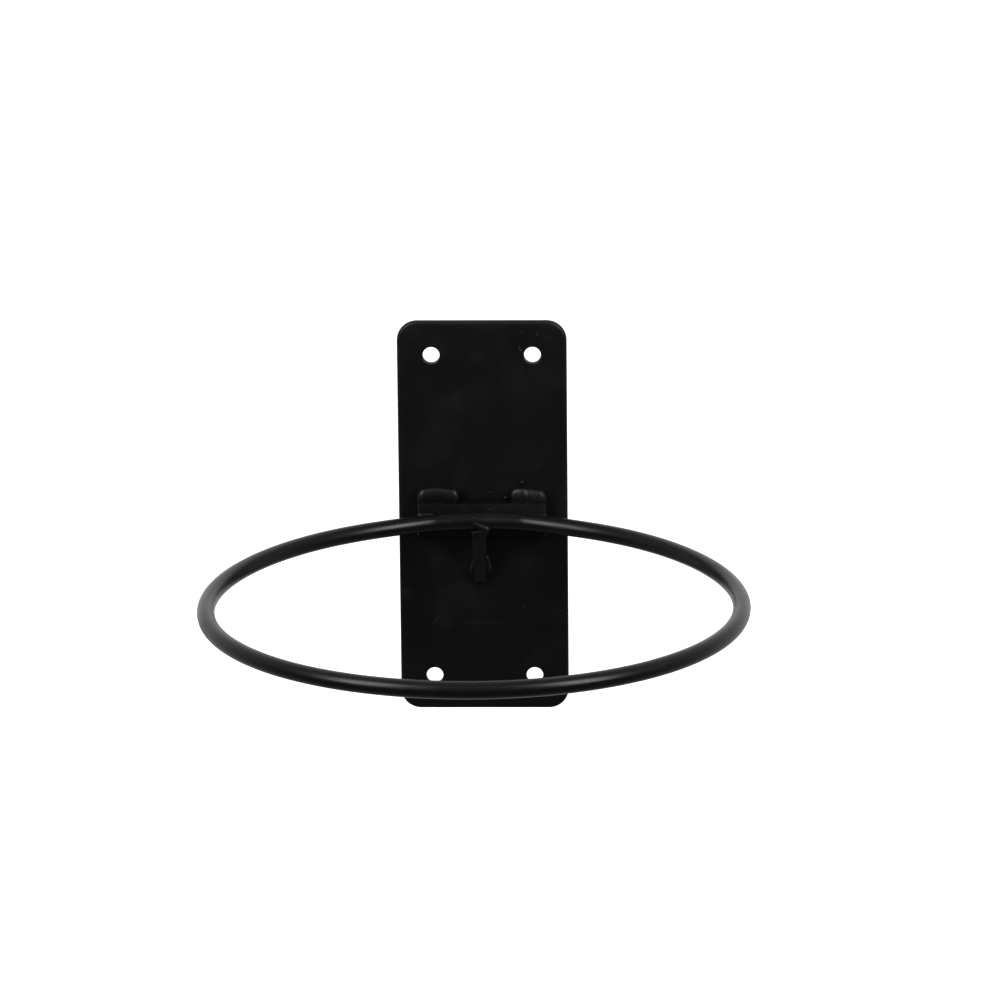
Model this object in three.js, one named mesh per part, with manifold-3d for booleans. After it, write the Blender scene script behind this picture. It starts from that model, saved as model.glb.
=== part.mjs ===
// Hair dryer holder: a steel wall plate with a round-rod ring that the dryer hangs in.
// Units are millimetres. +Z is up, +X is to the right as seen from the room.
// The origin is the middle of the plate's rear face, which lies against the wall (the plane y = 0).
// The ring stands out from the wall along -Y.

import * as THREE from 'three';
import { mergeVertices } from 'three/addons/utils/BufferGeometryUtils.js';
import Module from 'manifold-3d';

const wasm = await Module();
wasm.setup();

// ---------------------------------------------------------------- driving dimensions

const plateWidth = 50;
const plateHeight = 120;
const plateThickness = 2;
const plateCornerRadius = 6;
const holeDiameter = 5.5;
const holeInset = 10; // hole centre to the plate's nearest two edges

const jigShift = -0.35; // the front parts sit this far off the plate's middle line
const barWidth = 38;
const barHeight = 10;
const barThickness = 5;
const barCentreZ = 0.5;

const rodDiameter = 5;
const ringRadius = 76.6; // mean radius of the rod's centre line
const ringPeak = 0.85; // the bent rod comes to a slight peak where its two ends meet
const ringCentreZ = 0.45;
const buttAngle = -1.4; // degrees round the ring from its rearmost point to the closing weld
const buttGap = 1.6; // between the rod's two cut ends

const ribThickness = 4;
const ribCentreX = -1.05;
const ribBottomZ = -20;
const ribFootDepth = 2; // how far the rib's lowest corner stands off the plate
const ribNoseDepth = 10.2; // how far its upper front corner stands off the plate
const ribNoseZ = -3.2;

const rootGap = 0.3; // clearance that a weld bead keeps to the steel on each side of it

// ---------------------------------------------------------------- derived places

const plateFrontY = -plateThickness;
const barFrontY = plateFrontY - barThickness;
const barTopZ = barCentreZ + barHeight / 2;
const barBottomZ = barCentreZ - barHeight / 2;
const rodRadius = rodDiameter / 2;
const ringBackY = barFrontY - rootGap - rodRadius;
const ringCentreY = ringBackY - ringRadius - ringPeak;
const ringCentreX = jigShift;

// ---------------------------------------------------------------- finishes

/** Black powder coat; each piece has its own copy. */
function powderCoat(roughness) {
  return new THREE.MeshStandardMaterial({ color: 0x141416, metalness: 0, roughness });
}

// ---------------------------------------------------------------- solid helpers

/** A closed geometry as a manifold solid, placed by a matrix. */
function solidOf(geometry, matrix = new THREE.Matrix4()) {
  const bare = geometry.clone();
  bare.deleteAttribute('normal');
  bare.deleteAttribute('uv');
  const merged = mergeVertices(bare, 1e-5);
  merged.applyMatrix4(matrix);
  const mesh = new wasm.Mesh({
    numProp: 3,
    vertProperties: new Float32Array(merged.attributes.position.array),
    triVerts: new Uint32Array(merged.index.array),
  });
  return new wasm.Manifold(mesh);
}

/** A manifold solid as a three.js geometry. */
function geometryOf(solid) {
  const { vertProperties, triVerts } = solid.getMesh();
  const geometry = new THREE.BufferGeometry();
  geometry.setAttribute('position', new THREE.BufferAttribute(vertProperties, 3));
  geometry.setIndex(new THREE.BufferAttribute(triVerts, 1));
  geometry.computeVertexNormals();
  return geometry;
}

/** A box given by its lowest and highest corners. */
function boxBetween(low, high) {
  const size = high.clone().sub(low);
  const centre = low.clone().add(high).multiplyScalar(0.5);
  const place = new THREE.Matrix4().makeTranslation(centre.x, centre.y, centre.z);
  return solidOf(new THREE.BoxGeometry(size.x, size.y, size.z), place);
}

/** A lump of weld metal: centre and half sizes along X, Y and Z. */
function lump([x, y, z], [rx, ry, rz]) {
  const place = new THREE.Matrix4().makeTranslation(x, y, z);
  place.scale(new THREE.Vector3(rx, ry, rz));
  return solidOf(new THREE.SphereGeometry(1, 20, 12), place);
}

/** A named mesh. */
function piece(name, geometry, roughness) {
  const mesh = new THREE.Mesh(geometry, powderCoat(roughness));
  mesh.name = name;
  return mesh;
}

// ---------------------------------------------------------------- steel pieces

/** The outline of the wall plate, drawn in its own plane, with its four screw holes. */
function plateOutline() {
  const halfWidth = plateWidth / 2;
  const halfHeight = plateHeight / 2;
  const r = plateCornerRadius;
  const outline = new THREE.Shape();
  outline.absarc(halfWidth - r, halfHeight - r, r, 0, Math.PI / 2);
  outline.absarc(r - halfWidth, halfHeight - r, r, Math.PI / 2, Math.PI);
  outline.absarc(r - halfWidth, r - halfHeight, r, Math.PI, 1.5 * Math.PI);
  outline.absarc(halfWidth - r, r - halfHeight, r, 1.5 * Math.PI, 2 * Math.PI);
  for (const side of [-1, 1]) {
    for (const end of [-1, 1]) {
      const hole = new THREE.Path();
      const x = side * (halfWidth - holeInset);
      const y = end * (halfHeight - holeInset);
      hole.absarc(x, y, holeDiameter / 2, 0, 2 * Math.PI, true);
      outline.holes.push(hole);
    }
  }
  return outline;
}

function makePlate() {
  const options = { depth: plateThickness, bevelEnabled: false, curveSegments: 12 };
  const plate = piece('back_plate', new THREE.ExtrudeGeometry(plateOutline(), options), 0.42);
  plate.rotation.x = Math.PI / 2; // the drawing's up becomes +Z and its thickness runs towards -Y
  return plate;
}

function makeBar() {
  const bar = piece('mounting_bar', new THREE.BoxGeometry(barWidth, barThickness, barHeight), 0.42);
  bar.position.set(jigShift, plateFrontY - barThickness / 2, barCentreZ);
  return bar;
}

/** The rod's centre line, from one cut end round to the other, with the cut at an angle in degrees. */
class RingLine extends THREE.Curve {
  constructor(cutAngle) {
    super();
    this.halfGap = buttGap / 2 / ringRadius;
    this.cut = THREE.MathUtils.degToRad(cutAngle);
  }

  getPoint(t, target = new THREE.Vector3()) {
    const angle = this.cut + this.halfGap + t * 2 * (Math.PI - this.halfGap);
    return target.copy(ringPoint(angle));
  }
}

/** A point of the rod's centre line by its angle round the ring, in radians; 0 is the rearmost. */
function ringPoint(angle) {
  const r = ringRadius + ringPeak * Math.cos(3 * angle);
  return new THREE.Vector3(
    ringCentreX + r * Math.sin(angle),
    ringCentreY + r * Math.cos(angle),
    ringCentreZ,
  );
}

/** A round rod that follows the ring. */
function ringRod(radius, cutAngle) {
  const section = new THREE.Shape();
  section.absarc(0, 0, radius, 0, 2 * Math.PI);
  const options = { extrudePath: new RingLine(cutAngle), steps: 120, curveSegments: 8 };
  return new THREE.ExtrudeGeometry(section, options);
}

function makeRing() {
  return piece('ring', ringRod(rodRadius, buttAngle), 0.36);
}

/** The rib's side outline, drawn with the part's Y across and its Z up. */
function ribOutline() {
  const backY = barFrontY - rootGap;
  const underBarZ = barBottomZ - rootGap;
  const seatZ = ringCentreZ - rodRadius - rootGap;
  const outline = new THREE.Shape();
  outline.moveTo(plateFrontY, ribBottomZ);
  outline.lineTo(plateFrontY, underBarZ);
  outline.lineTo(backY, underBarZ);
  outline.lineTo(backY, seatZ);
  outline.lineTo(plateFrontY - ribNoseDepth, seatZ);
  outline.lineTo(plateFrontY - ribNoseDepth, ribNoseZ);
  outline.lineTo(plateFrontY - ribFootDepth, ribBottomZ);
  return outline;
}

function makeRib() {
  const options = { depth: ribThickness, bevelEnabled: false };
  const rib = piece('support_rib', new THREE.ExtrudeGeometry(ribOutline(), options), 0.42);
  rib.quaternion.set(0.5, 0.5, 0.5, 0.5); // the drawing's X, Y and depth become Y, Z and X
  rib.position.x = ribCentreX - ribThickness / 2;
  return rib;
}

// ---------------------------------------------------------------- weld beads

/** The space that each steel piece takes, grown by the root gap, for the beads to be cut by. */
const room = {
  plate: boxBetween(
    new THREE.Vector3(-plateWidth, plateFrontY - rootGap, -plateHeight),
    new THREE.Vector3(plateWidth, plateThickness, plateHeight),
  ),
  bar: boxBetween(
    new THREE.Vector3(jigShift - barWidth / 2 - rootGap, barFrontY - rootGap, barBottomZ - rootGap),
    new THREE.Vector3(jigShift + barWidth / 2 + rootGap, plateThickness, barTopZ + rootGap),
  ),
  rod: solidOf(ringRod(rodRadius + rootGap, 180)), // uncut at the back, where the welds are
  rib: boxBetween(
    new THREE.Vector3(ribCentreX - ribThickness / 2 - rootGap, plateFrontY - 2 * ribNoseDepth, ribBottomZ),
    new THREE.Vector3(ribCentreX + ribThickness / 2 + rootGap, 0, ringCentreZ - rodRadius),
  ),
};

/** A weld bead: lumps run together, cut back where the steel pieces are. */
function makeBead(name, lumps, neighbours) {
  let bead = lumps.map(([centre, half]) => lump(centre, half)).reduce((a, b) => a.add(b));
  for (const neighbour of neighbours) {
    bead = bead.subtract(neighbour);
  }
  return piece(name, geometryOf(bead), 0.34);
}

/** The two beads along the bar's top, in the corner that it makes with the plate. */
function makeBarBeads() {
  const y = plateFrontY - 0.4;
  const z = barTopZ + 0.3;
  const left = [
    [[-16.4, y, z], [3.1, 3.2, 3.4]],
    [[-13.0, y, z], [4.2, 3.1, 3.3]],
    [[-9.9, y, z], [3.1, 3.2, 3.4]],
  ];
  const right = [
    [[10.5, y, z], [2.7, 3.2, 3.6]],
    [[13.4, y, z], [2.6, 2.8, 2.9]],
    [[15.9, y, z], [2.9, 3.2, 3.2]],
  ];
  const steel = [room.plate, room.bar];
  return [
    makeBead('weld_bar_left', left, steel),
    makeBead('weld_bar_right', right, steel),
  ];
}

/** The weld that closes the ring, standing a little proud of the rod all round. */
function makeRingJoint() {
  const half = buttGap / 2 - rootGap;
  const profile = [
    new THREE.Vector2(0, -half),
    new THREE.Vector2(rodRadius - 0.1, -half),
    new THREE.Vector2(rodRadius + 0.15, 0),
    new THREE.Vector2(rodRadius - 0.1, half),
    new THREE.Vector2(0, half),
  ];
  const joint = piece('weld_ring_joint', new THREE.LatheGeometry(profile, 24), 0.34);
  const angle = THREE.MathUtils.degToRad(buttAngle);
  joint.position.copy(ringPoint(angle));
  joint.rotation.z = -Math.PI / 2 - angle; // the lathe's axis lies along the rod
  return joint;
}

/** The tack welds between the ring and the bar, one towards each end of the bar. */
function makeRingTacks() {
  const y = barFrontY - 0.9;
  const z = ringCentreZ + 1.9;
  const steel = [room.bar, room.rod];
  return [
    makeBead('weld_ring_left', [[[-15.2, y, z], [2.1, 1.9, 1.5]]], steel),
    makeBead('weld_ring_right', [[[13.1, y, z], [1.8, 1.8, 1.4]]], steel),
  ];
}

/** The weld under the ring, run round the rib's nose where it meets the rod and the bar. */
function makeRibRingBead() {
  const y = ringBackY - 1.6;
  const z = ringCentreZ - rodRadius - 0.6;
  const lumps = [
    [[ribCentreX - 2.5, ringBackY + 0.4, z - 0.2], [2.0, 2.2, 1.6]],
    [[ribCentreX + 2.4, ringBackY + 0.4, z - 0.1], [1.9, 2.2, 1.6]],
    [[ribCentreX - 0.6, y, z], [2.4, 1.9, 1.2]],
    [[ribCentreX + 1.6, y, z - 0.3], [1.7, 1.8, 1.3]],
  ];
  return makeBead('weld_rib_ring', lumps, [room.bar, room.rod, room.rib]);
}

/** The short fillets down each side of the rib's foot, against the plate. */
function makeRibFootBeads() {
  const y = plateFrontY - 0.3;
  const offset = ribThickness / 2 + 0.4;
  const left = [[[ribCentreX - offset, y, -16.6], [2.2, 1.9, 2.8]]];
  const right = [[[ribCentreX + offset, y, -15.6], [2.1, 1.9, 3.2]]];
  const steel = [room.plate, room.rib];
  return [
    makeBead('weld_rib_plate_left', left, steel),
    makeBead('weld_rib_plate_right', right, steel),
  ];
}

// ---------------------------------------------------------------- assembly

const holder = new THREE.Group();
holder.name = 'hair_dryer_holder';
holder.add(makePlate(), makeBar(), makeRing(), makeRib());
holder.add(...makeBarBeads(), makeRingJoint(), ...makeRingTacks());
holder.add(makeRibRingBead(), ...makeRibFootBeads());

export default holder;
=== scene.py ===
"""Hair dryer holder: the finish and fine shape of a powder coated steel wall bracket.

A wall plate carries a flat bar, a rib and a ring of round rod, joined by hand-laid weld beads. All sizes
are in metres and in the part's own frame: +Z up, the wall at y = 0, the ring standing out along -Y.
"""

import logging
import math
from dataclasses import dataclass
from enum import Enum

import bmesh
import bpy
from bmesh.types import BMEdge, BMesh, BMVert
from bpy.types import CurveMapPoint, CurveMapPoints, Material, NodeSocket, NodeTree, Object
from mathutils import Matrix, Vector, noise


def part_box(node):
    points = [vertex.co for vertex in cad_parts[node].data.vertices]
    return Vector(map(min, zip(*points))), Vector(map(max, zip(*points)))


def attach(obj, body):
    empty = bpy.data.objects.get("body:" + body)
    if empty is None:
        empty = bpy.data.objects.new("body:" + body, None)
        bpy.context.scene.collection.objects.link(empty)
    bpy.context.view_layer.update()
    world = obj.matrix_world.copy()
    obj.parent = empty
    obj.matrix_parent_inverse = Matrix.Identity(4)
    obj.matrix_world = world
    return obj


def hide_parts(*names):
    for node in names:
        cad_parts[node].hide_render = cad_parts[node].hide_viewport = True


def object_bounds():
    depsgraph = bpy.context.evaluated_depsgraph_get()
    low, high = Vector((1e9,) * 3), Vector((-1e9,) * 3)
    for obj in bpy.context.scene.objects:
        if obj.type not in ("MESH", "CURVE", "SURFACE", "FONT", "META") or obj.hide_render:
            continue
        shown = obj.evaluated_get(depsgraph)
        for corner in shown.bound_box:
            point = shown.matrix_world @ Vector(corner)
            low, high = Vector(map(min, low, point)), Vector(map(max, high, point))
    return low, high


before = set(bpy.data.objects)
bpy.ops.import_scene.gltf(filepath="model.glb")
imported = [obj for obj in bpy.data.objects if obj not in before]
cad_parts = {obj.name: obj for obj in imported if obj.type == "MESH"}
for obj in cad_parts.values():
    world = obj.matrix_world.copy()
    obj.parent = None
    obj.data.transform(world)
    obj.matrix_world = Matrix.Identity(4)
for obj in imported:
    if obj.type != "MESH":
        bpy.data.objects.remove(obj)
CAD_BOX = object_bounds()

MM = 0.001
BODY = "root"
PLATE_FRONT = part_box("back_plate")[0].y
LOG = logging.getLogger("holder")

Triple = tuple[float, float, float]


class Slot(Enum):
    """The record's material slots."""

    PLATE = "plate_coat"
    ROD = "rod_coat"
    WELD = "weld_coat"


# ---------------------------------------------------------------- node groups shared by the finishes


def new_group(name: str, inputs: dict[str, tuple[str, object]], outputs: dict[str, str]) -> NodeTree:
    """Starts a shader node group.

    Args:
        name: the group's name.
        inputs: socket name to (socket type, default value).
        outputs: socket name to socket type.

    Returns:
        The group, with its Group Input and Group Output nodes made.
    """
    group = bpy.data.node_groups.new(name, "ShaderNodeTree")
    for label, (kind, value) in inputs.items():
        socket = group.interface.new_socket(name=label, in_out="INPUT", socket_type=kind)
        socket.default_value = value
    for label, kind in outputs.items():
        group.interface.new_socket(name=label, in_out="OUTPUT", socket_type=kind)
    group.nodes.new("NodeGroupInput").name = "in"
    group.nodes.new("NodeGroupOutput").name = "out"
    return group


def math_node(tree: NodeTree, operation: str, first: object, second: object = None) -> NodeSocket:
    """Adds a Math node.

    Args:
        tree: the tree that the node goes in.
        operation: the Math node's operation.
        first: a socket or a number for the first input.
        second: a socket or a number for the second input.

    Returns:
        The node's output socket.
    """
    node = tree.nodes.new("ShaderNodeMath")
    node.operation = operation
    for socket, value in zip(node.inputs, (first, second)):
        if isinstance(value, NodeSocket):
            tree.links.new(value, socket)
        elif value is not None:
            socket.default_value = value
    return node.outputs[0]


def object_vector(tree: NodeTree) -> NodeSocket:
    """The piece's own coordinates, in metres."""
    return tree.nodes.new("ShaderNodeTexCoord").outputs["Object"]


def noise_node(tree: NodeTree, scale: object, detail: float, roughness: float = 0.5) -> NodeSocket:
    """Adds a noise texture on the piece's own coordinates.

    Args:
        tree: the tree that the node goes in.
        scale: a socket or a number, in waves to the metre.
        detail: the number of finer layers.
        roughness: how strong the finer layers are.

    Returns:
        The noise's value socket.
    """
    node = tree.nodes.new("ShaderNodeTexNoise")
    tree.links.new(object_vector(tree), node.inputs["Vector"])
    if isinstance(scale, NodeSocket):
        tree.links.new(scale, node.inputs["Scale"])
    else:
        node.inputs["Scale"].default_value = scale
    node.inputs["Detail"].default_value = detail
    node.inputs["Roughness"].default_value = roughness
    return node.outputs["Fac"]


def smooth_step(tree: NodeTree, value: object, low: object, high: object) -> NodeSocket:
    """Adds a smooth step from 0 to 1.

    Args:
        tree: the tree that the node goes in.
        value: a socket or a number.
        low: the value at which the step starts, a socket or a number.
        high: the value at which it ends, a socket or a number.

    Returns:
        The step's value socket.
    """
    node = tree.nodes.new("ShaderNodeMapRange")
    node.interpolation_type = "SMOOTHSTEP"
    for name, given in (("Value", value), ("From Min", low), ("From Max", high)):
        if isinstance(given, NodeSocket):
            tree.links.new(given, node.inputs[name])
        else:
            node.inputs[name].default_value = given
    return node.outputs["Result"]


def make_orange_peel() -> NodeTree:
    """The small waves that powder coat sets with, finer grit on top of a slow swell.

    Returns:
        A group that turns Waves per metre and Grit into Height.
    """
    inputs = {"Waves per metre": ("NodeSocketFloat", 900.0), "Grit": ("NodeSocketFloat", 0.25)}
    group = new_group("orange_peel", inputs, {"Height": "NodeSocketFloat"})
    given = group.nodes["in"].outputs
    grit_fineness = 4.3
    swell = noise_node(group, given["Waves per metre"], detail=1.0)
    finer = math_node(group, "MULTIPLY", given["Waves per metre"], grit_fineness)
    grit = noise_node(group, finer, detail=2.0, roughness=0.6)
    height = math_node(group, "ADD", swell, math_node(group, "MULTIPLY", grit, given["Grit"]))
    group.links.new(height, group.nodes["out"].inputs["Height"])
    return group


def make_handling() -> NodeTree:
    """Faint finger smudges and rub marks, as soft uneven patches.

    Returns:
        A group that turns Patches per metre and Cover into Mask.
    """
    inputs = {"Patches per metre": ("NodeSocketFloat", 60.0), "Cover": ("NodeSocketFloat", 0.45)}
    group = new_group("handling", inputs, {"Mask": "NodeSocketFloat"})
    given = group.nodes["in"].outputs
    edge_below = 0.06
    edge_above = 0.22
    streak_fineness = 3.7
    streak_strength = 0.8
    streak_floor = 0.3
    level = math_node(group, "SUBTRACT", 1.0, given["Cover"])
    start = math_node(group, "SUBTRACT", level, edge_below)
    full = math_node(group, "ADD", level, edge_above)
    broad = noise_node(group, given["Patches per metre"], detail=3.0, roughness=0.6)
    patches = smooth_step(group, broad, start, full)
    finer = math_node(group, "MULTIPLY", given["Patches per metre"], streak_fineness)
    streaks = math_node(group, "MULTIPLY", noise_node(group, finer, detail=2.0), streak_strength)
    mask = math_node(group, "MULTIPLY", patches, math_node(group, "ADD", streaks, streak_floor))
    group.links.new(mask, group.nodes["out"].inputs["Mask"])
    return group


def make_dust() -> NodeTree:
    """Single dust specks caught in the coat.

    Returns:
        A group that turns Cells per metre, Share and Size into Mask.
    """
    inputs = {
        "Cells per metre": ("NodeSocketFloat", 420.0),
        "Share": ("NodeSocketFloat", 0.12),
        "Size": ("NodeSocketFloat", 0.12),
    }
    group = new_group("dust", inputs, {"Mask": "NodeSocketFloat"})
    nodes, links = group.nodes, group.links
    given = nodes["in"].outputs
    solid_part = 0.3
    cells = nodes.new("ShaderNodeTexVoronoi")
    links.new(object_vector(group), cells.inputs["Vector"])
    links.new(given["Cells per metre"], cells.inputs["Scale"])
    pick = nodes.new("ShaderNodeSeparateColor")
    links.new(cells.outputs["Color"], pick.inputs["Color"])
    solid = math_node(group, "MULTIPLY", given["Size"], solid_part)
    speck = smooth_step(group, cells.outputs["Distance"], given["Size"], solid)
    chosen = math_node(group, "LESS_THAN", pick.outputs["Red"], given["Share"])
    strength = math_node(group, "MULTIPLY", chosen, pick.outputs["Green"])
    links.new(math_node(group, "MULTIPLY", speck, strength), nodes["out"].inputs["Mask"])
    return group


def make_scratch() -> NodeTree:
    """One short scratch on a face that looks along Y.

    Returns:
        A group that turns Centre, Lean in degrees from upright, Length, Width and Depth into Mask.
    """
    inputs = {
        "Centre": ("NodeSocketVector", (0.0, 0.0, 0.0)),
        "Lean": ("NodeSocketFloat", 0.0),
        "Length": ("NodeSocketFloat", 2 * MM),
        "Width": ("NodeSocketFloat", 0.3 * MM),
        "Depth": ("NodeSocketFloat", 2 * MM),
    }
    group = new_group("scratch", inputs, {"Mask": "NodeSocketFloat"})
    nodes, links = group.nodes, group.links
    given = nodes["in"].outputs
    solid_part = 0.35
    ragged_waves = 3000.0
    ragged_floor = 0.35
    offset = nodes.new("ShaderNodeVectorMath")
    offset.operation = "SUBTRACT"
    links.new(object_vector(group), offset.inputs[0])
    links.new(given["Centre"], offset.inputs[1])
    turn = nodes.new("ShaderNodeVectorRotate")
    turn.rotation_type = "Y_AXIS"
    links.new(offset.outputs["Vector"], turn.inputs["Vector"])
    links.new(math_node(group, "RADIANS", given["Lean"]), turn.inputs["Angle"])
    split = nodes.new("ShaderNodeSeparateXYZ")
    links.new(turn.outputs["Vector"], split.inputs["Vector"])
    mask = math_node(group, "ADD", noise_node(group, ragged_waves, detail=1.0), ragged_floor)
    for axis, size in (("X", given["Width"]), ("Z", given["Length"]), ("Y", given["Depth"])):
        away = math_node(group, "ABSOLUTE", split.outputs[axis])
        half = math_node(group, "MULTIPLY", size, 0.5)
        inside = smooth_step(group, away, half, math_node(group, "MULTIPLY", half, solid_part))
        mask = math_node(group, "MULTIPLY", mask, inside)
    links.new(mask, nodes["out"].inputs["Mask"])
    return group


@dataclass(frozen=True)
class CoatEffects:
    """The node groups that every powder coat finish draws on."""

    orange_peel: NodeTree
    handling: NodeTree
    dust: NodeTree
    scratch: NodeTree

    @classmethod
    def build(cls) -> "CoatEffects":
        """Makes each group once."""
        return cls(make_orange_peel(), make_handling(), make_dust(), make_scratch())


# ---------------------------------------------------------------- finishes


@dataclass(frozen=True)
class Scratch:
    """A scratch or rub on the plate's front, how strong it shows and its lean in degrees from upright."""

    x: float
    z: float
    lean: float
    length: float
    width: float
    strength: float = 1.0
    colour: Triple = (0.16, 0.075, 0.035)


@dataclass(frozen=True)
class PowderCoat:
    """A black powder coat: how dark and glossy it is, and how fine its surface waves are."""

    name: str
    colour: Triple = (0.0033, 0.0034, 0.0044)
    dust_colour: Triple = (0.05, 0.05, 0.052)
    roughness: float = 0.36
    smudge_roughness: float = 0.12
    refraction: float = 1.5
    waves_per_metre: float = 900.0
    wave_depth: float = 0.006 * MM
    grit: float = 0.25
    smudge: float = 0.05
    smudge_cover: float = 0.5
    dust_share: float = 0.1
    scratches: tuple[Scratch, ...] = ()

    def build(self, effects: CoatEffects) -> Material:
        """Makes the material.

        Args:
            effects: the shared node groups.

        Returns:
            The finished material.
        """
        material = bpy.data.materials.new(self.name)
        material.use_nodes = True
        tree = material.node_tree
        shader = tree.nodes["Principled BSDF"]
        shader.inputs["IOR"].default_value = self.refraction
        smudges = self._place(tree, effects.handling, {"Cover": self.smudge_cover})
        dust = self._place(tree, effects.dust, {"Share": self.dust_share})
        pale = math_node(tree, "MAXIMUM", math_node(tree, "MULTIPLY", smudges, self.smudge), dust)
        colour = self._mix(tree, pale, self.colour, self.dust_colour)
        for scratch in self.scratches:
            mask = self._place(tree, effects.scratch, {
                "Centre": (scratch.x, PLATE_FRONT, scratch.z),
                "Lean": scratch.lean,
                "Length": scratch.length,
                "Width": scratch.width,
            })
            faint = math_node(tree, "MULTIPLY", mask, scratch.strength)
            colour = self._mix(tree, faint, colour, scratch.colour)
        tree.links.new(colour, shader.inputs["Base Color"])
        rough = math_node(tree, "MULTIPLY_ADD", smudges, self.smudge_roughness)
        rough.node.inputs[2].default_value = self.roughness
        tree.links.new(rough, shader.inputs["Roughness"])
        waves = {"Waves per metre": self.waves_per_metre, "Grit": self.grit}
        bump = tree.nodes.new("ShaderNodeBump")
        bump.inputs["Distance"].default_value = self.wave_depth
        tree.links.new(self._place(tree, effects.orange_peel, waves), bump.inputs["Height"])
        tree.links.new(bump.outputs["Normal"], shader.inputs["Normal"])
        return material

    @staticmethod
    def _place(tree: NodeTree, group: NodeTree, values: dict[str, object]) -> NodeSocket:
        """Puts a shared effect in a material.

        Args:
            tree: the material's tree.
            group: the effect's node group.
            values: this material's own values for the group's inputs.

        Returns:
            The group's first output.
        """
        node = tree.nodes.new("ShaderNodeGroup")
        node.node_tree = group
        for name, value in values.items():
            node.inputs[name].default_value = value
        return node.outputs[0]

    @staticmethod
    def _mix(tree: NodeTree, mask: NodeSocket, under: object, over: object) -> NodeSocket:
        """Lays one colour over another.

        Args:
            tree: the material's tree.
            mask: where the upper colour shows.
            under: the lower colour, a socket or three numbers.
            over: the upper colour, a socket or three numbers.

        Returns:
            The mixed colour's socket.
        """
        node = tree.nodes.new("ShaderNodeMix")
        node.data_type = "RGBA"
        tree.links.new(mask, node.inputs["Factor"])
        sockets = [s for s in node.inputs if s.type == "RGBA"]
        for socket, value in zip(sockets, (under, over)):
            if isinstance(value, NodeSocket):
                tree.links.new(value, socket)
            else:
                socket.default_value = (*value, 1.0)
        return next(s for s in node.outputs if s.type == "RGBA")


RUBBED = (0.1, 0.1, 0.115)
PLATE_COAT = PowderCoat(
    "plate_powder_coat",
    roughness=0.42,
    scratches=(
        Scratch(11.4 * MM, 52.0 * MM, 24.0, 2.4 * MM, 0.45 * MM, 0.7),
        Scratch(16.4 * MM, 56.6 * MM, 10.0, 1.6 * MM, 0.6 * MM, 0.35, RUBBED),
        Scratch(12.0 * MM, 57.0 * MM, 60.0, 1.2 * MM, 0.8 * MM, 0.2, RUBBED),
        Scratch(-14.5 * MM, -32.7 * MM, -40.0, 3.4 * MM, 0.8 * MM, 0.16, RUBBED),
        Scratch(12.0 * MM, -28.4 * MM, 90.0, 1.6 * MM, 0.6 * MM, 0.2, RUBBED),
        Scratch(-1.0 * MM, -33.2 * MM, 88.0, 17.0 * MM, 1.6 * MM, 0.06, RUBBED),
        Scratch(-1.5 * MM, 49.6 * MM, 75.0, 6.0 * MM, 4.0 * MM, 0.05, RUBBED),
        Scratch(-7.2 * MM, 35.5 * MM, 10.0, 9.0 * MM, 5.0 * MM, 0.04, RUBBED),
        Scratch(-11.0 * MM, 21.0 * MM, 5.0, 9.0 * MM, 5.0 * MM, 0.04, RUBBED),
        Scratch(-26.0 * MM, -3.4 * MM, 0.0, 3.0 * MM, 3.0 * MM, 0.06, RUBBED),
        Scratch(-23.0 * MM, -24.0 * MM, 0.0, 5.0 * MM, 4.0 * MM, 0.05, RUBBED),
    ),
)
BAR_COAT = PowderCoat("bar_powder_coat", roughness=0.36)
ROD_COAT = PowderCoat(
    "rod_powder_coat",
    colour=(0.0055, 0.0056, 0.0064),
    roughness=0.3,
    wave_depth=0.004 * MM,
)
WELD_COAT = PowderCoat("weld_powder_coat", roughness=0.38, wave_depth=0.005 * MM, waves_per_metre=1200.0)


# ---------------------------------------------------------------- mesh helpers


def add_piece(name: str, work: BMesh, material: Material) -> Object:
    """Turns a finished bmesh into a piece that rides with the holder.

    Args:
        name: the piece's name.
        work: the mesh, which is freed.
        material: its finish.

    Returns:
        The new object.
    """
    mesh = bpy.data.meshes.new(name)
    work.to_mesh(mesh)
    work.free()
    mesh.shade_smooth()
    mesh.materials.append(material)
    piece = bpy.data.objects.new(name, mesh)
    bpy.context.scene.collection.objects.link(piece)
    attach(piece, BODY)
    return piece


def square_up(work: BMesh) -> None:
    """Merges doubled points and turns every face outwards."""
    bmesh.ops.remove_doubles(work, verts=work.verts, dist=0.001 * MM)
    bmesh.ops.recalc_face_normals(work, faces=work.faces)


def sharp_edges(work: BMesh, angle: float) -> list[BMEdge]:
    """The edges whose two faces meet at more than an angle in degrees."""
    limit = math.radians(angle)
    return [e for e in work.edges if len(e.link_faces) == 2 and e.calc_face_angle() > limit]


def round_over(work: BMesh, edges: list[BMEdge], radius: float, segments: int) -> None:
    """Rounds edges over.

    Args:
        work: the mesh.
        edges: the edges.
        radius: the radius that they get.
        segments: the number of steps round it.
    """
    bmesh.ops.bevel(
        work,
        geom=edges,
        offset=radius,
        offset_type="OFFSET",
        affect="EDGES",
        segments=segments,
        profile=0.5,
        material=-1,
        clamp_overlap=True,
    )


def box_mesh(low: Vector, high: Vector) -> BMesh:
    """Makes a box.

    Args:
        low: its lowest corner.
        high: its highest corner.

    Returns:
        The box's mesh.
    """
    work = bmesh.new()
    place = Matrix.Translation((low + high) / 2) @ Matrix.Diagonal((*(high - low), 1.0))
    bmesh.ops.create_cube(work, size=1.0, matrix=place)
    return work


# ---------------------------------------------------------------- steel pieces


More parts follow.
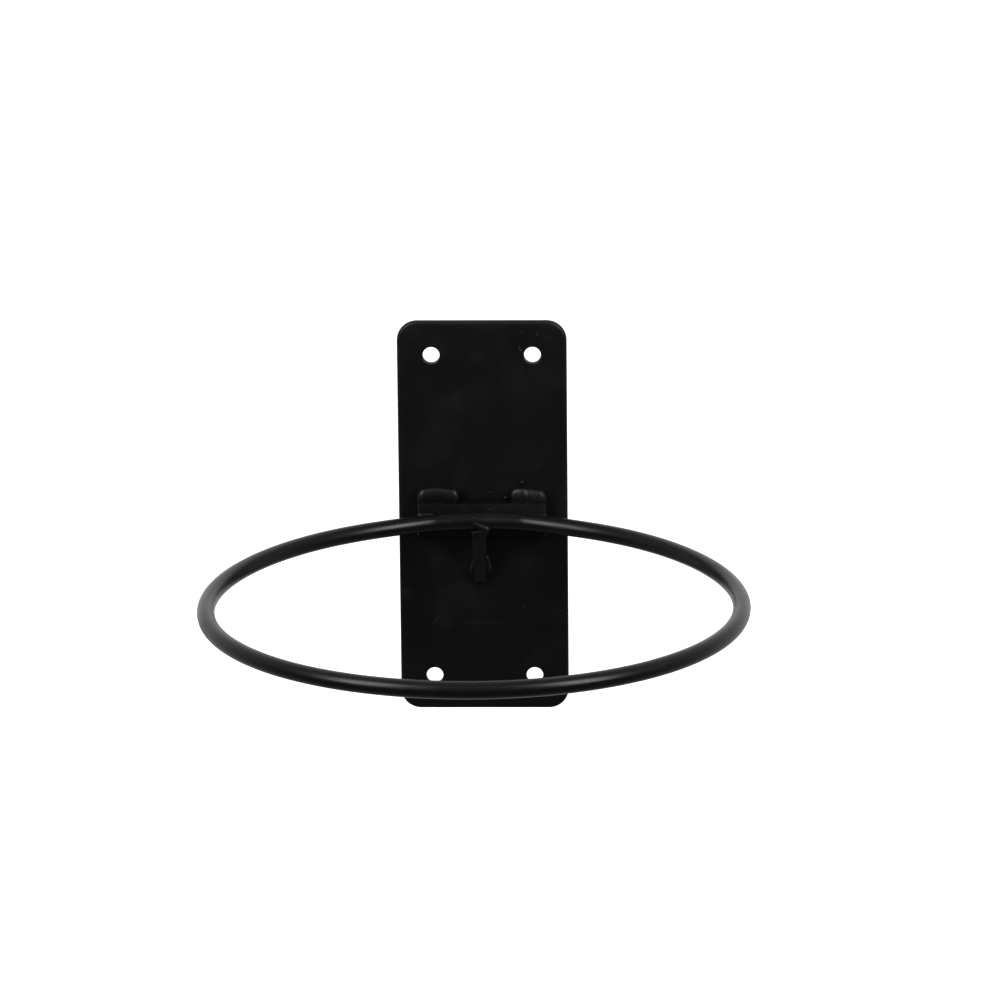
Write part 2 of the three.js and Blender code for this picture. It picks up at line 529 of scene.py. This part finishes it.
@dataclass
class WallPlate:
    """The flat plate that is screwed to the wall.

    Its edges are rolled over by the coat, which also thins a little towards them.
    """

    corner_radius: float = 6.0 * MM
    corner_segments: int = 16
    hole_radius: float = 2.5 * MM
    hole_inset: float = 10.0 * MM
    hole_segments: int = 64
    side_coat: float = 0.17 * MM
    end_coat: float = 0.42 * MM
    edge_radius: float = 0.9 * MM
    rear_radius: float = 0.25 * MM
    hole_edge_radius: float = 0.4 * MM
    rim_width: float = 3.2 * MM
    rim_drop: float = 0.1 * MM
    rear_steps: int = 4
    front_steps: int = 6
    rim_steps: int = 4

    def build(self, material: Material) -> Object:
        """Makes the plate in place of its CAD node.

        Args:
            material: the plate's finish.

        Returns:
            The plate.
        """
        low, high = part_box("back_plate")
        grown = Vector((self.side_coat, 0, self.end_coat))
        work = bmesh.new()
        outline = [
            self._outline(work, low - grown, high + grown, inset, y)
            for inset, y in self._rim(low.y, high.y, self.edge_radius, self.rim_width, self.rim_drop)
        ]
        rims = [outline]
        hole_rim = self._rim(low.y, high.y, self.hole_edge_radius, 2 * self.hole_edge_radius, 0.0)
        for x in (low.x + self.hole_inset, high.x - self.hole_inset):
            for z in (low.z + self.hole_inset, high.z - self.hole_inset):
                rims.append([self._hole(work, x, z, self.hole_radius + inset, y) for inset, y in hole_rim])
        for end in (0, -1):
            edges = [work.edges.get(pair) for loops in rims for pair in self._pairs(loops[end])]
            bmesh.ops.triangle_fill(work, edges=edges, use_beauty=True, normal=Vector((0, -1, 0)))
        for loops in rims:
            for first, second in zip(loops, loops[1:]):
                for (a, b), (c, d) in zip(self._pairs(first), self._pairs(second)):
                    work.faces.new((a, b, d, c))
        square_up(work)
        plate = add_piece("wall_plate", work, material)
        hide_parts("back_plate")
        return plate

    @staticmethod
    def _pairs(loop: list[BMVert]) -> list[tuple[BMVert, BMVert]]:
        """Each point of a closed loop with the next one."""
        return list(zip(loop, loop[1:] + loop[:1]))

    def _rim(
        self, front: float, rear: float, radius: float, width: float, drop: float
    ) -> list[tuple[float, float]]:
        """Steps across an edge, from the rear face round to the front face.

        Args:
            front: the front face's place along Y.
            rear: the rear face's place along Y.
            radius: the radius that the coat gives the front edge.
            width: how far in the coat starts to thin.
            drop: how much it has thinned at the edge.

        Returns:
            Pairs of inset from the outline and place along Y.
        """
        back = self.rear_radius
        steps = [(2 * back, rear)]
        for step in range(self.rear_steps + 1):
            a = math.radians(90 / self.rear_steps * step)
            steps.append((back * (1 - math.sin(a)), rear - back * (1 - math.cos(a))))
        for step in range(self.front_steps + 1):
            a = math.radians(90 / self.front_steps * step)
            steps.append((radius * (1 - math.cos(a)), front + drop + radius * (1 - math.sin(a))))
        for step in range(1, self.rim_steps + 2):
            part = step / self.rim_steps
            slope = max(0.0, 1 - part)
            steps.append((radius + part * (width - radius), front + drop * slope ** 2))
        return steps

    def _outline(self, work: BMesh, low: Vector, high: Vector, inset: float, y: float) -> list[BMVert]:
        """The plate's outline, drawn a little way in from its edge.

        Args:
            work: the mesh that it is added to.
            low: the plate's lowest corner.
            high: the plate's highest corner.
            inset: how far in from the edge.
            y: its place along Y.

        Returns:
            The outline's points in order.
        """
        left, right = low.x + inset, high.x - inset
        bottom, top = low.z + inset, high.z - inset
        places = ((left, bottom), (right, bottom), (right, top), (left, top))
        corners = [work.verts.new((x, y, z)) for x, z in places]
        work.faces.new(corners)
        rounded = bmesh.ops.bevel(
            work,
            geom=corners,
            offset=self.corner_radius - inset,
            affect="VERTICES",
            segments=self.corner_segments,
            profile=0.5,
            material=-1,
        )
        sheet = next(f for f in rounded["verts"][0].link_faces if len(f.verts) > len(corners))
        points = list(sheet.verts)
        bmesh.ops.delete(work, geom=[sheet], context="FACES_ONLY")
        return points

    def _hole(self, work: BMesh, x: float, z: float, radius: float, y: float) -> list[BMVert]:
        """A circle round a screw hole.

        Args:
            work: the mesh that it is added to.
            x: the hole's place along X.
            z: the hole's place along Z.
            radius: the circle's radius.
            y: its place along Y.

        Returns:
            The circle's points in order.
        """
        place = Matrix.Translation((x, y, z)) @ Matrix.Rotation(math.pi / 2, 4, "X")
        made = bmesh.ops.create_circle(work, segments=self.hole_segments, radius=radius, matrix=place)
        return sorted(made["verts"], key=lambda v: math.atan2(v.co.z - z, v.co.x - x))


@dataclass
class MountingBar:
    """The flat bar that carries the ring, laid across the plate's middle."""

    edge_radius: float = 0.22 * MM
    edge_segments: int = 3
    end_radius: float = 0.5 * MM
    end_segments: int = 5
    sink: float = 0.2 * MM
    square_angle: float = 60.0

    def build(self, material: Material) -> Object:
        """Makes the bar in place of its CAD node.

        Args:
            material: the bar's finish.

        Returns:
            The bar.
        """
        low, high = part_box("mounting_bar")
        work = box_mesh(low, high + Vector((0, self.sink, 0)))
        upright = [e for e in work.edges if abs(e.verts[0].co.z - e.verts[1].co.z) > MM]
        round_over(work, upright, self.end_radius, self.end_segments)
        front = [e for e in sharp_edges(work, self.square_angle) if all(v.co.y < high.y for v in e.verts)]
        round_over(work, front, self.edge_radius, self.edge_segments)
        square_up(work)
        bar = add_piece("cross_bar", work, material)
        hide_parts("mounting_bar")
        return bar


@dataclass
class SupportRib:
    """The upright rib under the ring, tapering back to the plate."""

    edge_radius: float = 0.45 * MM
    edge_segments: int = 4
    edge_angle: float = 20.0
    flat_angle: float = 1.0
    set_in: float = 1.0 * MM

    def build(self, material: Material) -> Object:
        """Makes the rib from its CAD outline, its top set into the rod and its edges rounded.

        Args:
            material: the rib's finish.

        Returns:
            The rib.
        """
        work = bmesh.new()
        work.from_mesh(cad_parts["support_rib"].data)
        square_up(work)
        _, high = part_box("support_rib")
        top = [v for v in work.verts if v.co.z > high.z - self.edge_radius]
        bmesh.ops.translate(work, verts=top, vec=Vector((0, 0, self.set_in)))
        limit = math.radians(self.flat_angle)
        bmesh.ops.dissolve_limit(work, angle_limit=limit, verts=work.verts, edges=work.edges)
        round_over(work, sharp_edges(work, self.edge_angle), self.edge_radius, self.edge_segments)
        square_up(work)
        rib = add_piece("under_rib", work, material)
        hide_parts("support_rib")
        return rib


@dataclass
class Ring:
    """The round rod bent to a ring.

    Its two ends are nearly straight, meet at the back and are ground there. Angles are in degrees, round
    from the back.
    """

    rod_radius: float = 2.5 * MM
    coat: float = 0.06 * MM
    peak: float = 0.85 * MM
    lobes: int = 3
    straight_from: float = -10.2
    straight_to: float = 8.9
    straightness: float = 0.6
    joint_angle: float = -1.5
    joint_spread: float = 1.5
    joint_rise: float = 0.08 * MM
    end_push: float = 1.4 * MM
    end_lift: float = 0.6 * MM
    end_width: float = 13.5
    ground_depth: float = 0.2 * MM
    ground_tilt: float = 57.0
    ground_fade: float = 0.7
    section_segments: int = 40
    turn_steps: int = 480

    @property
    def centre(self) -> Vector:
        """The middle of the ring, from its CAD node."""
        low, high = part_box("ring")
        back = high.y - self.rod_radius
        return Vector(((low.x + high.x) / 2, back - self.peak - self.radius, (low.z + high.z) / 2))

    @property
    def radius(self) -> float:
        """The mean radius of the rod's centre line."""
        low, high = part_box("ring")
        return (high.x - low.x) / 2 - self.rod_radius

    def build(self, material: Material) -> Object:
        """Makes the ring in place of its CAD node.

        Args:
            material: the ring's finish.

        Returns:
            The ring.
        """
        work = bmesh.new()
        centre = self.centre
        radius = self.radius
        across = Matrix.Rotation(math.pi / 2, 4, "Y")
        place = Matrix.Translation(centre + Vector((0, radius, 0))) @ across
        section = self.rod_radius + self.coat
        bmesh.ops.create_circle(work, segments=self.section_segments, radius=section, matrix=place)
        bmesh.ops.spin(
            work,
            geom=work.verts[:] + work.edges[:],
            cent=centre,
            axis=Vector((0, 0, 1)),
            angle=2 * math.pi,
            steps=self.turn_steps,
            use_merge=True,
        )
        for vert in work.verts:
            vert.co = self._shaped(vert.co, centre, radius)
        square_up(work)
        ring = add_piece("rod_ring", work, material)
        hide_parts("ring")
        return ring

    def _reach(self, angle: float, radius: float) -> float:
        """How far the rod's centre line is from the ring's centre.

        Args:
            angle: the angle round from the back, in degrees.
            radius: the ring's mean radius.

        Returns:
            The distance, which nearly follows a chord where the rod's ends are straight.
        """
        bent = radius + self._bulge(angle)
        first, last = self.straight_from, self.straight_to
        if not first < angle < last:
            return bent
        near = radius + self._bulge(first)
        far = radius + self._bulge(last)
        before, after = math.radians(angle - first), math.radians(last - angle)
        chord = near * far * math.sin(before + after) / (near * math.sin(before) + far * math.sin(after))
        return bent + (chord - bent) * self.straightness

    def _bulge(self, angle: float) -> float:
        """How far the centre line is outside a true circle, most of it where the ends meet."""
        ends = self.end_push * math.exp(-((angle / self.end_width) ** 2))
        return self.peak * math.cos(math.radians(self.lobes * angle)) + ends

    def _shaped(self, point: Vector, centre: Vector, radius: float) -> Vector:
        """Moves a point of a plain round ring to the shape of this one.

        Args:
            point: the point.
            centre: the ring's centre.
            radius: the ring's mean radius.

        Returns:
            The new place, with the low swell of the closing weld added near the joint.
        """
        arm = point - centre
        turn = math.atan2(arm.x, arm.y)
        out = Vector((math.sin(turn), math.cos(turn), 0))
        angle = math.degrees(turn)
        swell = math.exp(-(((angle - self.joint_angle) / self.joint_spread) ** 2))
        section = (point - centre - out * radius) * (1 + swell * self.joint_rise / self.rod_radius)
        section += self._ground(section, out, angle)
        lift = Vector((0, 0, self.end_lift * math.exp(-((angle / self.end_width) ** 2))))
        return centre + out * self._reach(angle, radius) + section + lift

    def _ground(self, section: Vector, out: Vector, angle: float) -> Vector:
        """The move of a point of the rod that was ground flatter round the joint.

        Args:
            section: the point, from the rod's centre line.
            out: the direction out from the ring's centre.
            angle: the angle round from the back, in degrees.

        Returns:
            The move, nothing away from the joint.
        """
        tilt = math.radians(self.ground_tilt)
        facing = Vector((0, 0, math.sin(tilt))) - out * math.cos(tilt)
        over = section.dot(facing) - (section.length - self.ground_depth)
        reach = min(angle - self.straight_from, self.straight_to - angle)
        share = min(max(reach / self.ground_fade, 0.0), 1.0)
        return facing * (-max(over, 0.0) * share)


# ---------------------------------------------------------------- weld metal


BALL_DETAIL = 3


@dataclass(frozen=True)
class Lump:
    """A lump of weld metal: its centre and half sizes along X, Y and Z, in millimetres."""

    centre: Triple
    half: Triple


def run_of_lumps(
    start: Triple, end: Triple, first: Triple, last: Triple, spacing: float = 0.45
) -> list[Lump]:
    """A row of lumps so close together that they make one smooth run of metal.

    Args:
        start: the first lump's centre.
        end: the last lump's centre.
        first: the first lump's half sizes.
        last: the last lump's half sizes.
        spacing: the most that two neighbours are apart, in millimetres.

    Returns:
        The lumps.
    """
    count = math.ceil(math.dist(start, end) / spacing) + 1
    lumps = []
    for index in range(count + 1):
        centre = Vector(start).lerp(Vector(end), index / count)
        half = Vector(first).lerp(Vector(last), index / count)
        lumps.append(Lump(tuple(centre), tuple(half)))
    return lumps


@dataclass(frozen=True)
class Bead:
    """One weld bead: its lumps, how uneven it is, and the CAD node that it stands for."""

    name: str
    stands_for: str
    lumps: tuple[Lump, ...]
    ripple: float = 0.045 * MM
    ripple_size: float = 2.0 * MM
    smoothing: int = 8


@dataclass(frozen=True)
class Corners:
    """The places that the beads are laid from, in millimetres."""

    bar_top: float
    plate_face: float
    rod_y: float
    rod_z: float
    rib_x: float

    @classmethod
    def measure(cls) -> "Corners":
        """Reads the places from the CAD nodes.

        Returns:
            The bar's top, the plate's face, the rod's centre at the back and the rib's middle.
        """
        ring = Ring()
        _, bar_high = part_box("mounting_bar")
        rib_low, rib_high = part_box("support_rib")
        return cls(
            bar_top=bar_high.z / MM,
            plate_face=bar_high.y / MM,
            rod_y=(ring.centre.y + ring.radius + ring.peak) / MM,
            rod_z=ring.centre.z / MM,
            rib_x=(rib_low.x + rib_high.x) / 2 / MM,
        )


@dataclass
class WeldWork:
    """Every weld bead on the holder, run together from lumps and smoothed as molten metal is."""

    voxel: float = 0.17 * MM
    root_depth: float = 0.5 * MM
    pull: float = 0.5
    bar_bead_out: float = 3.2

    def beads(self) -> tuple[Bead, ...]:
        """Every bead, laid from the corners that it fills."""
        corners = Corners.measure()
        return (*self._bar_beads(corners), *self._ring_beads(corners), *self._rib_beads(corners))

    def _bar_beads(self, corners: Corners) -> tuple[Bead, ...]:
        """Lays the beads between the bar's top and the plate, one run on the left and two on the right.

        Args:
            corners: where the steel pieces meet.

        Returns:
            The two beads.
        """
        top = corners.bar_top
        root = corners.plate_face - 1.2
        front = corners.plate_face - self.bar_bead_out
        return (
            Bead("bead_bar_left", "weld_bar_left", (
                *run_of_lumps(
                    (-17.2, front, top + 1.4), (-13.5, front + 0.1, top + 1.8),
                    (2.4, 1.35, 2.9), (2.3, 1.2, 3.0),
                ),
                *run_of_lumps(
                    (-13.5, front + 0.1, top + 1.8), (-9.1, front, top + 1.4),
                    (2.3, 1.2, 3.0), (2.2, 1.3, 2.8),
                ),
                *run_of_lumps(
                    (-17.2, root, top + 1.2), (-9.1, root, top + 1.2),
                    (2.2, 2.4, 2.8), (2.0, 2.4, 2.7),
                ),
                *run_of_lumps(
                    (-17.4, front - 0.1, top - 0.9), (-9.0, front, top - 0.9),
                    (1.9, 1.3, 1.3), (1.8, 1.2, 1.3),
                ),
            )),
            Bead("bead_bar_right", "weld_bar_right", (
                *run_of_lumps(
                    (10.1, front + 0.1, top + 1.6), (11.9, front - 0.1, top + 1.7),
                    (2.1, 1.2, 2.8), (2.1, 1.35, 2.9),
                ),
                *run_of_lumps(
                    (13.1, front + 0.2, top + 1.5), (16.5, front - 0.1, top + 1.2),
                    (2.2, 1.2, 2.8), (2.5, 1.4, 2.8),
                ),
                *run_of_lumps(
                    (10.1, root, top + 1.1), (16.6, root, top + 1.0),
                    (2.0, 2.4, 2.8), (2.3, 2.4, 2.7),
                ),
                *run_of_lumps(
                    (10.1, front, top - 0.9), (16.7, front - 0.1, top - 0.9),
                    (1.9, 1.2, 1.3), (2.0, 1.3, 1.3),
                ),
            )),
        )

    @staticmethod
    def _ring_beads(corners: Corners) -> tuple[Bead, ...]:
        """Lays the two tacks between the rod and the bar, and the butt weld that closes the ring.

        Args:
            corners: where the steel pieces meet.

        Returns:
            The three beads.
        """
        y, z = corners.rod_y, corners.rod_z
        return (
            Bead("bead_ring_left", "weld_ring_left", (
                *run_of_lumps(
                    (-18.4, y + 1.9, z + 1.9), (-15.2, y + 1.7, z + 2.1),
                    (1.0, 1.2, 1.0), (0.8, 1.0, 0.8),
                ),
            ), ripple=0.05 * MM),
            Bead("bead_ring_right", "weld_ring_right", (
                *run_of_lumps(
                    (18.1, y + 1.9, z + 1.7), (13.6, y + 1.7, z + 2.0),
                    (0.9, 1.2, 0.9), (0.7, 1.0, 0.7),
                ),
            ), ripple=0.05 * MM),
            Bead("bead_ring_joint", "weld_ring_joint", (
                Lump((-2.5, y - 0.1, z + 0.1), (1.2, 2.4, 2.3)),
                Lump((-2.5, y - 1.75, z + 2.05), (0.55, 0.5, 0.5)),
            ), ripple=0.03 * MM),
        )

    @staticmethod
    def _rib_beads(corners: Corners) -> tuple[Bead, ...]:
        """Lays the bead between the rib's top and the rod, and a fillet at each side of the rib's foot.

        Args:
            corners: where the steel pieces meet.

        Returns:
            The three beads.
        """
        x, y, z = corners.rib_x, corners.rod_y, corners.rod_z
        top_bead = Bead("bead_rib_ring", "weld_rib_ring", (
            *run_of_lumps(
                (x - 1.0, y - 1.75, z + 0.4), (x + 1.9, y - 1.6, z - 1.2),
                (0.8, 0.95, 0.7), (1.75, 1.6, 1.35),
            ),
            *run_of_lumps(
                (x - 0.9, y - 0.2, z - 2.6), (x + 1.3, y - 1.0, z - 2.6),
                (1.2, 1.5, 1.3), (1.6, 1.7, 1.5),
            ),
            *run_of_lumps(
                (x - 1.9, y + 1.1, z - 2.7), (x - 1.4, y + 0.7, z - 4.0),
                (0.8, 1.4, 0.8), (0.7, 1.7, 1.0),
            ),
            *run_of_lumps(
                (x + 2.2, y + 1.0, z - 2.6), (x + 1.6, y + 0.6, z - 4.1),
                (0.9, 1.5, 0.8), (0.7, 1.8, 1.0),
            ),
        ), ripple=0.04 * MM, smoothing=12)
        feet = []
        for side, name, start, end in ((-1, "left", -14.2, -17.4), (1, "right", -13.0, -16.6)):
            upper = (x + 1.8 * side, corners.plate_face, start)
            lower = (x + 2.1 * side, corners.plate_face, end)
            lumps = run_of_lumps(upper, lower, (0.9, 0.4, 1.2), (1.6, 0.6, 1.6))
            feet.append(Bead(
                f"bead_rib_foot_{name}", f"weld_rib_plate_{name}", tuple(lumps),
                ripple=0.05 * MM, smoothing=12,
            ))
        return (top_bead, *feet)

    def build(self, material: Material) -> list[Object]:
        """Makes every bead in place of its CAD node.

        Args:
            material: the beads' finish.

        Returns:
            The beads.
        """
        pieces = []
        for bead in self.beads():
            piece = add_piece(bead.name, self._flow(bead), material)
            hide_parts(bead.stands_for)
            pieces.append(piece)
        return pieces

    def _flow(self, bead: Bead) -> BMesh:
        """Runs a bead's lumps together and gives the result its slight unevenness.

        Args:
            bead: the bead.

        Returns:
            Its mesh.
        """
        rough = bmesh.new()
        for lump in bead.lumps:
            scale = Matrix.Diagonal((*[h * MM for h in lump.half], 1.0))
            place = Matrix.Translation(Vector(lump.centre) * MM) @ scale
            bmesh.ops.create_icosphere(rough, subdivisions=BALL_DETAIL, radius=1.0, matrix=place)
        mesh = bpy.data.meshes.new("lumps")
        rough.to_mesh(mesh)
        rough.free()
        holder = bpy.data.objects.new("lumps", mesh)
        bpy.context.scene.collection.objects.link(holder)
        remesh = holder.modifiers.new("run together", "REMESH")
        remesh.mode = "VOXEL"
        remesh.voxel_size = self.voxel
        depsgraph = bpy.context.evaluated_depsgraph_get()
        depsgraph.update()
        work = bmesh.new()
        work.from_object(holder, depsgraph)
        bpy.data.objects.remove(holder)
        bpy.data.meshes.remove(mesh)
        for _ in range(bead.smoothing):
            bmesh.ops.smooth_vert(
                work, verts=work.verts, factor=self.pull, use_axis_x=True, use_axis_y=True, use_axis_z=True
            )
        work.normal_update()
        moves = [v.normal * bead.ripple * noise.noise(v.co / bead.ripple_size) for v in work.verts]
        for vert, move in zip(work.verts, moves):
            vert.co += move
            vert.co.y = min(vert.co.y, PLATE_FRONT + self.root_depth)
        square_up(work)
        return work


@dataclass(frozen=True)
class Drop:
    """A drop of weld spatter and how far it is in front of the plate, in millimetres."""

    x: float
    z: float
    size: float
    out: float = 0.0


@dataclass
class Spatter:
    """Drops of weld spatter that stuck to the plate and the bar before they were coated."""

    drops: tuple[Drop, ...] = (
        Drop(11.6, 10.5, 0.6),
        Drop(6.8, 5.8, 0.65),
        Drop(2.3, 7.6, 0.4),
        Drop(2.3, 3.7, 0.4, 5.0),
        Drop(12.1, 4.9, 0.35, 5.0),
        Drop(-2.1, 7.4, 0.22),
        Drop(-19.4, -5.5, 0.45),
    )
    flatness: float = 0.7

    def build(self, material: Material) -> Object:
        """Makes all the drops as one piece.

        Args:
            material: the weld metal's finish.

        Returns:
            The piece.
        """
        work = bmesh.new()
        for drop in self.drops:
            scale = Matrix.Diagonal((drop.size * MM, drop.size * self.flatness * MM, drop.size * MM, 1.0))
            place = Matrix.Translation((drop.x * MM, PLATE_FRONT - drop.out * MM, drop.z * MM)) @ scale
            bmesh.ops.create_icosphere(work, subdivisions=BALL_DETAIL, radius=1.0, matrix=place)
        return add_piece("weld_spatter", work, material)


# ---------------------------------------------------------------- studio


@dataclass(frozen=True)
class Softbox:
    """A soft studio light that looks at the holder, placed by its bearing round it in degrees."""

    name: str
    azimuth: float
    elevation: float
    width: float
    height: float
    radiance: float
    distance: float = 1.3

    def build(self, target: Vector) -> Object:
        """Makes the light.

        Args:
            target: the point that it looks at.

        Returns:
            The light.
        """
        light = bpy.data.lights.new(self.name, "AREA")
        light.shape = "RECTANGLE"
        light.size = self.width
        light.size_y = self.height
        light.energy = self.radiance * math.pi * self.width * self.height
        lamp = bpy.data.objects.new(self.name, light)
        bpy.context.scene.collection.objects.link(lamp)
        a, e = math.radians(self.azimuth), math.radians(self.elevation)
        towards = Vector((math.sin(a) * math.cos(e), -math.cos(a) * math.cos(e), math.sin(e)))
        lamp.location = target + towards * self.distance
        lamp.rotation_euler = towards.to_track_quat("Z", "Y").to_euler()
        lamp.visible_camera = False
        return lamp


@dataclass
class Studio:
    """The floor, the lights, the room and the camera.

    The backdrop gives the room's brightness along Y, from in front of the holder to behind it.
    """

    floor_drop: float = 0.45
    floor_size: float = 16.0
    floor_shade: float = 0.85
    floor_roughness: float = 0.9
    white: float = 1.15
    lights: tuple[Softbox, ...] = (
        Softbox("softbox_left", -44.0, 32.0, 0.38, 0.9, 6.5),
        Softbox("softbox_right", 44.5, 31.0, 0.36, 0.9, 6.5),
    )
    backdrop: tuple[tuple[float, float], ...] = (
        (-1.0, 0.02),
        (-0.45, 0.03),
        (0.0, 0.16),
        (0.5, 0.5),
        (0.95, 1.0),
    )
    fade: float = 0.5
    from_above: float = 0.12
    from_below: float = 0.08
    camera_place: Triple = (0.0600, -2.0047, 0.6303)
    camera_turn: Triple = (-17.329, 0.5395, 1.5726)
    lens: float = 253.67
    sensor: float = 36.0
    camera_reach: float = 60.0

    def build(self) -> None:
        """Makes the studio round the holder."""
        low, high = CAD_BOX
        target = (low + high) / 2
        self._floor(low.z - self.floor_drop)
        for light in self.lights:
            light.build(target)
        self._surround()
        self._camera()
        bpy.context.scene.view_settings.view_transform = "Standard"

    def _floor(self, height: float) -> None:
        """Lays a plain pale floor, evenly lit, that neither shades nor tints the holder.

        Args:
            height: its height.
        """
        work = bmesh.new()
        place = Matrix.Translation((0, 0, height))
        bmesh.ops.create_grid(work, x_segments=1, y_segments=1, size=self.floor_size / 2, matrix=place)
        mesh = bpy.data.meshes.new("floor")
        work.to_mesh(mesh)
        work.free()
        material = bpy.data.materials.new("pale_floor")
        material.use_nodes = True
        shader = material.node_tree.nodes["Principled BSDF"]
        shader.inputs["Base Color"].default_value = (*[self.floor_shade] * 3, 1)
        shader.inputs["Roughness"].default_value = self.floor_roughness
        shader.inputs["Emission Color"].default_value = (1, 1, 1, 1)
        shader.inputs["Emission Strength"].default_value = self.white
        mesh.materials.append(material)
        floor = bpy.data.objects.new("floor", mesh)
        bpy.context.scene.collection.objects.link(floor)
        floor.visible_glossy = False
        floor.visible_diffuse = False
        floor.visible_shadow = False

    def _surround(self) -> None:
        """Puts white behind the holder, falling away to a dark room in front of it."""
        world = bpy.data.worlds.new("studio")
        bpy.context.scene.world = world
        world.use_nodes = True
        tree = world.node_tree
        ground = tree.nodes["Background"]
        coordinates = tree.nodes.new("ShaderNodeTexCoord")
        split = tree.nodes.new("ShaderNodeSeparateXYZ")
        tree.links.new(coordinates.outputs["Generated"], split.inputs["Vector"])
        curve = tree.nodes.new("ShaderNodeFloatCurve")
        points = curve.mapping.curves[0].points
        for (place, value), point in zip(self.backdrop, self._points(points, len(self.backdrop))):
            point.location = ((place + 1) / 2, value)
        curve.mapping.update()
        along = math_node(tree, "MULTIPLY_ADD", split.outputs["Y"], 0.5)
        along.node.inputs[2].default_value = 0.5
        tree.links.new(along, curve.inputs["Value"])
        height = split.outputs["Z"]
        above = math_node(tree, "MULTIPLY", math_node(tree, "MAXIMUM", height, 0.0), self.from_above)
        lower = math_node(tree, "MINIMUM", height, 0.0)
        below = math_node(tree, "MULTIPLY", math_node(tree, "MULTIPLY", lower, lower), self.from_below)
        faded = math_node(tree, "MULTIPLY_ADD", math_node(tree, "ABSOLUTE", height), -self.fade)
        faded.node.inputs[2].default_value = 1.0
        level = math_node(tree, "MULTIPLY", curve.outputs["Value"], faded)
        room = math_node(tree, "ADD", level, math_node(tree, "ADD", above, below))
        seen = tree.nodes.new("ShaderNodeLightPath").outputs["Is Camera Ray"]
        plain = math_node(tree, "MULTIPLY", seen, self.white)
        strength = math_node(tree, "MAXIMUM", room, plain)
        tree.links.new(strength, ground.inputs["Strength"])
        ground.inputs["Color"].default_value = (1, 1, 1, 1)

    @staticmethod
    def _points(points: CurveMapPoints, count: int) -> list[CurveMapPoint]:
        """Adds points to a curve until it has enough.

        Args:
            points: the curve's points.
            count: how many it needs.

        Returns:
            The points in order.
        """
        while len(points) < count:
            points.new(len(points) / count, 0.5)
        return list(points)

    def _camera(self) -> None:
        """Sets up a long lens, a little right of the holder and looking down on it."""
        data = bpy.data.cameras.new("camera")
        data.lens = self.lens
        data.sensor_width = self.sensor
        data.clip_end = self.camera_reach
        camera = bpy.data.objects.new("camera", data)
        bpy.context.scene.collection.objects.link(camera)
        pitch, roll, yaw = (math.radians(a) for a in self.camera_turn)
        aim = Matrix.Rotation(yaw, 4, "Z") @ Matrix.Rotation(pitch, 4, "X") @ Matrix.Rotation(roll, 4, "Y")
        level = Matrix.Rotation(math.pi / 2, 4, "X")
        camera.matrix_world = Matrix.Translation(self.camera_place) @ aim @ level
        bpy.context.scene.camera = camera


# ---------------------------------------------------------------- the whole holder


def main() -> None:
    """Builds the holder's pieces in order, then the studio."""
    logging.basicConfig(level=logging.INFO, format="%(message)s")
    effects = CoatEffects.build()
    bar_coat = BAR_COAT.build(effects)
    weld_coat = WELD_COAT.build(effects)
    pieces = [
        WallPlate().build(PLATE_COAT.build(effects)),
        MountingBar().build(bar_coat),
        SupportRib().build(bar_coat),
        Ring().build(ROD_COAT.build(effects)),
        *WeldWork().build(weld_coat),
        Spatter().build(weld_coat),
    ]
    for piece in pieces:
        LOG.info("%s: %d faces", piece.name, len(piece.data.polygons))
    Studio().build()


if __name__ == "__main__":
    main()
